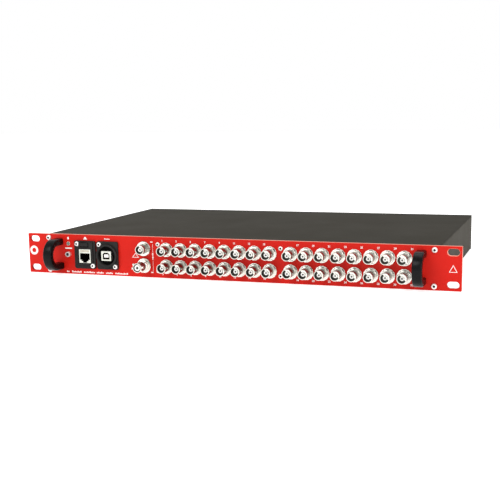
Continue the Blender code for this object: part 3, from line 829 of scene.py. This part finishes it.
def network_socket(mats):
    """Metal frame in the flange, with a cavity lined in near black, its black plastic darkened with painted
    shade, a pale strip and eight spring contacts.
    """
    place = face_point("rj45_flange")
    network_flange(mats, place)
    mouth = millimetres([
        (-6.0, -5.6), (-4.3, -5.6), (-4.3, -7.0), (-2.5, -7.0), (-2.5, -8.7), (2.5, -8.7), (2.5, -7.0),
        (4.3, -7.0), (4.3, -5.6), (6.0, -5.6), (6.0, 1.7), (-6.0, 1.7),
    ])

    def shell(bm):
        outline = rounded(7.1 * MM, 7.65 * MM, 0.4 * MM, 3, 0, -1.5 * MM)
        strip = rounded(5.3 * MM, 0.95 * MM, 0.3 * MM, 3, 0, 4.1 * MM)
        plate(bm, outline, [mouth, strip], -2.8 * MM, -1.2 * MM, 0.1 * MM)
        tube = rectangle(-6.8 * MM, 6.8 * MM, -9.0 * MM, 6.1 * MM)
        plate(bm, tube, [mouth], -1.25 * MM, 11 * MM, 0.05 * MM)
        plate(bm, tube, [], 11 * MM, 18 * MM, 0.05 * MM)

    piece("network_shell", shell, [mats["sheet"]], place, stands_for=["rj45_socket"])

    def insert(bm):
        liner = offset(mouth, -0.02 * MM)
        plate(bm, liner, [offset(mouth, -0.2 * MM)], -2.72 * MM, 10.5 * MM, 0.03 * MM)
        plate(bm, liner, [], 10.5 * MM, 10.95 * MM, 0.05 * MM)

    piece("network_insert", insert, [mats["shade_black"]], place)

    def light_strip(bm):
        plate(bm, rounded(5.25 * MM, 0.9 * MM, 0.3 * MM, 3, 0, 4.1 * MM), [], -2.55 * MM, -1.3 * MM, 0.1 * MM)

    piece("network_light_strip", light_strip, [mats["cream"]], place)

    def contacts(bm):
        bends = millimetres([(9.5, 1.0), (3.2, 1.0), (2.0, 0.7), (6.5, -1.6)])
        wire = rectangle(-0.2 * MM, 0.2 * MM, -0.15 * MM, 0.15 * MM)
        for i in range(8):
            cx = (i - 3.5) * 1.02 * MM
            loft(bm, [[(cx + dx, y, z + dz) for dx, dz in wire] for y, z in bends])

    piece("network_contacts", contacts, [mats["gold"]], place)


def network_latch(mats):
    """The tab that is pressed to free the plug, with five grip ribs."""
    low, high = box_of("rj45_latch")
    half_w = (high.x - low.x) / 2
    half_h = (high.z - low.z) / 2

    def tab(bm):
        plate(bm, rounded(half_w, half_h, 0.6 * MM, 4), [], low.y, high.y, 0.25 * MM)
        for i in range(5):
            cx = (i - 2) * 1.6 * MM
            block(bm, cx - 0.3 * MM, cx + 0.3 * MM, low.y - 0.25 * MM, low.y + 0.1 * MM, -1.1 * MM, 1.1 * MM)

    piece("network_latch_tab", tab, [mats["plastic"]], face_point("rj45_latch"),
          "rj45_latch", ["rj45_latch"])


def usb_socket(mats):
    """Flange with a round collar, and a metal-faced square socket standing in its recess."""
    place = face_point("usb_flange")
    seat = rectangle(-6.2 * MM, 6.2 * MM, -5.8 * MM, 5.6 * MM)
    recess_r = 10.4 * MM

    def flange(bm):
        flange_plate(bm, circle(recess_r))
        plate(bm, circle(12.6 * MM, 48), [circle(recess_r, 48)], -5.2 * MM, FLANGE_FACE, 0.3 * MM)
        # the recess floor round the socket is near black: painted shade
        plate(bm, circle(11.7 * MM), [seat], -1.2 * MM, 12 * MM, 0.15 * MM, face=1, edge=1)

    piece("usb_flange_plate", flange, [mats["plastic"], mats["shade_black"]], place,
          stands_for=["usb_flange"])

    mouth = millimetres([(-4.1, -3.7), (4.1, -3.7), (4.1, 1.9), (2.5, 3.5), (-2.5, 3.5), (-4.1, 1.9)])

    def shell(bm):
        outline = rounded(5.85 * MM, 5.3 * MM, 0.5 * MM, 3, 0, -0.1 * MM)
        plate(bm, outline, [mouth], -5.1 * MM, 5.5 * MM, 0.15 * MM)
        plate(bm, outline, [], 5.5 * MM, 18 * MM, 0.1 * MM)

    piece("usb_shell", shell, [mats["sheet"]], place, stands_for=["usb_socket"])

    def insert(bm):
        # the mouth's liner is near black: painted shade in the cavity
        liner = offset(mouth, -0.02 * MM)
        plate(bm, liner, [offset(mouth, -0.4 * MM)], -5.0 * MM, 5.4 * MM, 0.05 * MM)
        plate(bm, liner, [], 5.0 * MM, 5.45 * MM, 0.05 * MM)

    piece("usb_insert", insert, [mats["shade_black"]], place)

    def tongue(bm):
        plate(bm, rounded(2.7 * MM, 1.75 * MM, 0.3 * MM, 3, 0, -0.1 * MM), [], -4.4 * MM, 5.6 * MM, 0.2 * MM)

    piece("usb_tongue", tongue, [mats["white"]], place)

    def contacts(bm):
        for cx in (-1.25 * MM, 1.25 * MM):
            for z in (1.67, -1.87):
                block(bm, cx - 0.5 * MM, cx + 0.5 * MM, -3.9 * MM, 5 * MM, (z - 0.08) * MM, (z + 0.08) * MM)

    piece("usb_contacts", contacts, [mats["gold"]], place)


def status_light(mats):
    """Domed lens in a thin metal ring."""
    place = face_point("status_led")
    low, high = box_of("status_led")
    dome = millimetres([(1.6 * math.cos(a), -0.8 - math.sin(a)) for a in (0, 0.35, 0.7, 1.05, 1.35)])

    def lens(bm):
        turned(bm, [(1.6 * MM, high.y)] + dome + [(0.0, low.y)], 24)

    piece("status_light_lens", lens, [mats["lens"]], place, stands_for=["status_led"])

    def bezel(bm):
        turned(bm, millimetres([(1.72, -0.02), (2.25, -0.02), (2.2, -0.3), (1.85, -0.35), (1.72, -0.3)]), 28,
               loop=True)

    piece("status_light_ring", bezel, [mats["steel"]], place)


def reset_button(mats):
    """Metal bush through the panel, and the small plunger in it."""
    place = face_point("reset_button")
    low, high = box_of("reset_button")

    def bush(bm):
        lip = low.y + 0.25 * MM
        turned(bm, [
            (1.75 * MM, 6 * MM), (2.32 * MM, 6 * MM), (2.32 * MM, -0.02 * MM), (2.9 * MM, -0.02 * MM),
            (2.9 * MM, lip + 0.2 * MM), (2.75 * MM, lip), (1.8 * MM, lip), (1.75 * MM, lip + 0.1 * MM),
        ], 28, loop=True)

    piece("reset_bush", bush, [mats["steel"]], place)

    def plunger(bm):
        turned(bm, [
            (1.5 * MM, high.y), (1.5 * MM, low.y + 0.4 * MM), (1.4 * MM, low.y + 0.15 * MM),
            (1.1 * MM, low.y + 0.02 * MM), (0.0, low.y + 0.12 * MM),
        ], 24)

    piece("reset_plunger", plunger, [mats["plastic"]], place, "reset_button",
          ["reset_button"])


# ---------------------------------------------------------------- chassis and rear

def folded(bm, outline, y0, y1):
    """A folded sheet section in the x-z plane, drawn along y, with its ends closed."""
    loft(bm, [ring(outline, y) for y in (y0, y1)])


def chassis(mats):
    """Tray with rounded folds and open corners, and the plain lid on it."""
    low, high = box_of("chassis_tray")
    lid_low, lid_high = box_of("top_cover")
    t = 1.5 * MM
    bend = 2.0 * MM
    half = high.x

    def tray(bm):
        outer = [(-half, high.z)] + arc(-half + bend, low.z + bend, bend, 180, 270, 6)
        outer += arc(half - bend, low.z + bend, bend, 270, 360, 6) + [(half, high.z)]
        inner_r = bend - t
        inner = [(half - t, high.z)] + arc(half - bend, low.z + bend, inner_r, 360, 270, 6)
        inner += arc(-half + bend, low.z + bend, inner_r, 270, 180, 6) + [(-half + t, high.z)]
        folded(bm, outer + inner, low.y, high.y)
        for side in (-1, 1):
            xs = sorted((side * 210 * MM, side * (half - t)))
            block(bm, *xs, low.y, low.y + t, low.z + t, high.z)

    piece("tray_shell", tray, [mats["chassis"]], stands_for=["chassis_tray"])

    def lid(bm):
        edge_r = 0.9 * MM
        outline = [(-half, lid_low.z)] + arc(-half + edge_r, lid_high.z - edge_r, edge_r, 180, 90, 5)
        outline += arc(half - edge_r, lid_high.z - edge_r, edge_r, 90, 0, 5) + [(half, lid_low.z)]
        folded(bm, outline[::-1], lid_low.y, lid_high.y)

    piece("lid_shell", lid, [mats["lid"]], stands_for=["top_cover"])


def rear_plate(mats):
    """Rear plate with two rows of air slots and the opening for the inlet module."""
    low, high = box_of("rear_panel")
    cx = centre_of("mains_inlet").x
    holes = [rectangle(cx - 29 * MM, cx + 29 * MM, -12.5 * MM, 12.5 * MM)]
    for start in (-190 * MM, -30 * MM):
        for index in range(8):
            middle = start + index * 8 * MM + 1.5 * MM
            holes.append(rounded(1.5 * MM, 12 * MM, 1.49 * MM, 5, middle, 0.0))

    def build(bm):
        mid_z = (low.z + high.z) / 2
        outline = rounded(high.x, (high.z - low.z) / 2, 0.8 * MM, 4, 0.0, mid_z)
        plate(bm, outline, holes, low.y, high.y, 0.15 * MM)

    piece("rear_plate", build, [mats["chassis"]], stands_for=["rear_panel"])


def mains_inlet(mats):
    """Inlet module: a flange with bays for the socket, the fuse drawer and the rocker, and three pins."""
    low, high = box_of("mains_inlet")
    place = (centre_of("mains_inlet").x, 0, 0)
    face = high.y
    flange_back = face - 2.5 * MM
    bay_floor = face - 16 * MM
    drawer_floor = face - 24.5 * MM
    sx = -13.5 * MM
    left = sx - 12.25 * MM
    right = sx + 12.25 * MM
    half_h = 8.2 * MM
    cut = 3.2 * MM
    socket = [(left, -half_h), (right, -half_h), (right, half_h - cut), (right - cut, half_h),
              (left + cut, half_h), (left, half_h - cut)]
    drawer_bay = rectangle(1.9 * MM, 11.1 * MM, -9.6 * MM, 9.6 * MM)
    rocker_bay = rectangle(13.6 * MM, 26.4 * MM, -9.7 * MM, 9.7 * MM)
    bays = [socket, drawer_bay, rocker_bay]

    def module(bm):
        flange = rounded(34 * MM, 14 * MM, 2.5 * MM, 6)
        case = rounded(28.6 * MM, 12.1 * MM, 0.8 * MM, 3)
        studs = [circle(1.7 * MM, 16, side * INLET_SCREW_X, 0.0) for side in (-1, 1)]
        plate(bm, flange, bays + studs, flange_back, face, 0.3 * MM)
        plate(bm, case, bays, bay_floor, flange_back, 0.1 * MM)
        plate(bm, case, [], low.y, drawer_floor, 0.1 * MM)
        plate(bm, case, [drawer_bay], drawer_floor, bay_floor, 0.05 * MM)

    piece("inlet_module", module, [mats["mains"]], place, stands_for=["mains_inlet"])

    def pins(bm):
        for dx, z in millimetres([(-7, -2), (0, 2), (7, -2)]):
            blade = rounded(1.0 * MM, 2.0 * MM, 0.4 * MM, 3, sx + dx, z)
            plate(bm, blade, [], face - 17 * MM, face - 3 * MM, 0.3 * MM)

    piece("inlet_pins", pins, [mats["nut"]], place)


def rear_screws(mats):
    """Two screws that hold the inlet module and eight that hold the rear plate, all facing the rear."""
    cx = centre_of("mains_inlet").x
    inlet_face = box_of("mains_inlet")[1].y
    plate_face = box_of("rear_panel")[1].y
    spots = [(cx + side * INLET_SCREW_X, inlet_face, 0.0) for side in (-1, 1)]
    for x in (-205 * MM, -70 * MM, 70 * MM, 208 * MM):
        spots += [(x, plate_face, -16 * MM), (x, plate_face, 15 * MM)]

    def head(bm):
        hex_screw(bm, 2.6 * MM, 1.5 * MM, 1.8 * MM, 0.0)

    def build(bm):
        for spot in spots:
            stamp(bm, head, Matrix.Translation(spot) @ Matrix.Rotation(math.pi, 4, "Z"))

    piece("rear_screws", build, [mats["steel"], mats["shade_black"]])


def fuse_drawer(mats):
    """Drawer with a raised front and a pull slot."""
    low, high = box_of("fuse_drawer")
    half_w = (high.x - low.x) / 2

    def build(bm):
        pull = rounded(2 * MM, 1 * MM, 0.4 * MM, 3, 0, -6.2 * MM)
        front = rounded(half_w - 0.9 * MM, 8.2 * MM, 0.6 * MM, 4)
        plate(bm, rounded(half_w, 9.2 * MM, 0.6 * MM, 4), [], low.y, high.y - 0.4 * MM, 0.2 * MM)
        plate(bm, front, [pull], high.y - 0.5 * MM, high.y, 0.15 * MM)

    piece("fuse_drawer_front", build, [mats["mains"]], (centre_of("fuse_drawer").x, 0, 0),
          "fuse_drawer", ["fuse_drawer"])


def rocker(mats):
    """Rocker with a hollow curved face, tilted at rest, with a printed bar on it."""
    tilt = math.radians(-9.0)
    joint = next(j for j in frame["joints"] if j["name"] == "power_rocker_tilt")
    pivot = Vector(joint["pos_m"]) - FRONT
    half_w = 6.0 * MM
    outline = [(3.2, -8.6)]
    outline += [(1.7 + 1.5 * (i / 8) ** 2, 8.6 * i / 8) for i in range(-7, 8)]
    outline += [(3.2, 8.6), (-2.5, 8.6), (-6.5, 4.5), (-6.5, -4.5), (-2.5, -8.6)]
    section = millimetres(outline)

    def turn(y, z):
        return (y * math.cos(tilt) - z * math.sin(tilt), y * math.sin(tilt) + z * math.cos(tilt))

    def body(bm):
        soft = 0.3 * MM
        inner = offset(section[::-1], -soft)[::-1]
        levels = [(-half_w, inner), (-half_w + soft, section), (half_w - soft, section), (half_w, inner)]
        loft(bm, [[(x, *turn(y, z)) for y, z in points] for x, points in levels])

    piece("rocker_cap", body, [mats["mains"]], pivot, "power_rocker", ["power_rocker"])

    def mark(bm):
        outline = rectangle(-0.3 * MM, 0.3 * MM, 4.0 * MM, 7.0 * MM)
        bar = [(x, *turn(2.55 * MM + abs(z) * 0.001, z)) for x, z in outline]
        lift = Vector((0, math.cos(tilt), math.sin(tilt))) * 0.35 * MM
        loft(bm, [bar, [tuple(Vector(p) + lift) for p in bar]])

    piece("rocker_mark", mark, [mats["print"]], pivot, "power_rocker")


def inner_parts(mats):
    """The boards, the supply and the ribbon cables keep their solids, with finished materials."""
    finishes = {
        "main_board": "board", "jack_board_left": "board", "jack_board_right": "board",
        "power_supply": "board", "ribbon_left": "ribbon", "ribbon_right": "ribbon",
    }
    for node, finish in finishes.items():
        obj = frame["nodes"][node]
        obj.data.materials.clear()
        obj.data.materials.append(mats[finish])


# ---------------------------------------------------------------- stage

def area_light(name, place, target, size, power):
    light = bpy.data.lights.new(name, "AREA")
    light.shape = "RECTANGLE"
    light.size = size[0]
    light.size_y = size[1]
    light.energy = power
    obj = bpy.data.objects.new(name, light)
    bpy.context.scene.collection.objects.link(obj)
    obj.location = place
    obj.rotation_euler = (Vector(target) - Vector(place)).to_track_quat("-Z", "Y").to_euler()


def stage():
    """Pale floor, soft light from above and in front, and a white surround, greyer overhead."""
    mesh = bpy.data.meshes.new("floor")
    reach = 6.0
    mesh.from_pydata([(x, y, 0) for x, y in rectangle(-reach, reach, -reach, reach)], [], [(0, 1, 2, 3)])
    floor = bpy.data.objects.new("floor", mesh)
    bpy.context.scene.collection.objects.link(floor)
    pale = surface("pale_floor", (0.82, 0.82, 0.82), (0.86, 0.86, 0.86), 2.0, (0.6, 0.7), specular=0.1)
    shader = pale.node_tree.nodes["Principled BSDF"]
    shader.inputs["Emission Color"].default_value = (1.0, 1.0, 1.0, 1.0)
    shader.inputs["Emission Strength"].default_value = 0.68
    mesh.materials.append(pale)
    world = bpy.data.worlds.new("surround")
    bpy.context.scene.world = world
    world.use_nodes = True
    nodes = world.node_tree.nodes
    links = world.node_tree.links
    coords = nodes.new("ShaderNodeTexCoord")
    split = nodes.new("ShaderNodeSeparateXYZ")
    links.new(coords.outputs["Generated"], split.inputs["Vector"])
    dome = two_tones(nodes, (1.0, 1.0, 1.0), (0.62, 0.62, 0.62), 0.2, 0.75)
    links.new(split.outputs["Z"], dome.inputs["Fac"])
    links.new(dome.outputs["Color"], nodes["Background"].inputs["Color"])
    nodes["Background"].inputs["Strength"].default_value = 1.0
    area_light("key", (-0.7, -1.6, 1.7), (0, -0.1, 0), (1.4, 1.0), 22.0)
    area_light("fill", (1.6, -1.3, 0.9), (0, -0.1, 0), (1.0, 1.0), 8.0)
    area_light("top", (0.2, 0.5, 1.8), (0, 0.1, 0), (1.6, 1.0), 8.0)
    bpy.context.scene.view_settings.view_transform = "Standard"


def camera():
    cam = bpy.data.cameras.new("camera")
    cam.lens = CAMERA_LENS
    cam.sensor_width = 36.0
    cam.shift_y = CAMERA_SHIFT_Y
    obj = bpy.data.objects.new("camera", cam)
    bpy.context.scene.collection.objects.link(obj)
    turn = Matrix.Rotation(math.radians(CAMERA_YAW), 4, "Z")
    turn = turn @ Matrix.Rotation(math.radians(CAMERA_PITCH), 4, "X")
    turn = turn @ Matrix.Rotation(math.radians(CAMERA_ROLL), 4, "Y")
    turn = turn @ Matrix.Rotation(math.radians(90), 4, "X")
    obj.matrix_world = Matrix.Translation(FRONT + Vector(CAMERA_PLACE)) @ turn
    bpy.context.scene.camera = obj


MATERIALS = make_materials()
camera()
stage()
for make in (
    front_panel, panel_numbers, panel_marks, handles, front_screws, numbered_jacks, left_connectors,
    network_socket, network_latch, usb_socket, status_light, reset_button, chassis, rear_plate, mains_inlet,
    rear_screws, fuse_drawer, rocker, inner_parts,
):
    make(MATERIALS)
